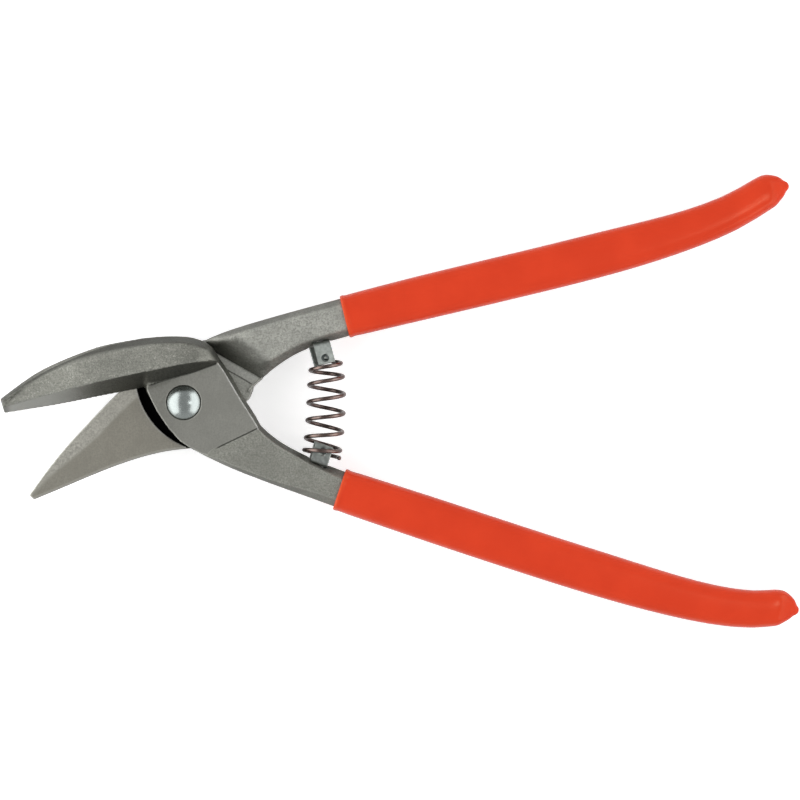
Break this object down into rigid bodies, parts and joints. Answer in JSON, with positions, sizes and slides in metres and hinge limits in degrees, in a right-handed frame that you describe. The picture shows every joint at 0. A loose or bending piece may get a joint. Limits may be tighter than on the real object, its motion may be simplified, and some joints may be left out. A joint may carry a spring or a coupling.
{
  "type": "tin snips",
  "caption": "Pelican-pattern tin snips: two drop-forged levers crossing at a bolted lap joint, opened by a coil spring, with dipped vinyl grips.",
  "frame": {"origin": "centre of the pivot bolt's flat end, the lowest point of the part, on the pivot axis", "axes": "+X along the tool, from the pivot towards the handle tips; +Y in the plane of the blades, towards the upper blade; +Z along the pivot axis, from the nut to the domed head"},
  "size_m": [0.273, 0.1549, 0.0261],
  "materials": {
    "forged_steel": "shot-blasted drop forging with ground lap and cutting faces",
    "bright_steel": "polished dome with a fine turned grain",
    "zinc_steel": "zinc-plated",
    "spring_steel": "oil-tempered wire, brown",
    "seat_steel": "bent sheet, thinly zinc-plated",
    "grip_vinyl": "dipped vinyl, smooth and glossy"
  },
  "bodies": {
    "front_lever": {"upper_blade_lever": "forged_steel", "lower_handle_grip": "grip_vinyl", "lower_spring_seat": "seat_steel", "pivot_bolt": "bright_steel", "pivot_washer": "zinc_steel", "pivot_nut": "zinc_steel", "return_spring": "spring_steel"},
    "rear_lever": {"lower_blade_lever": "forged_steel", "upper_handle_grip": "grip_vinyl", "upper_spring_seat": "seat_steel"}
  },
  "joints": [
    {"name": "jaw_pivot", "type": "hinge", "parent": "front_lever", "child": "rear_lever", "pos_m": [0, 0, 0.0148], "axis": [0, 0, 1], "range_deg": [-28.5, 0.5], "stiffness_Nm_per_rad": 10.7, "springref_deg": 2.86, "deforming": ["return_spring"]}
  ]
}
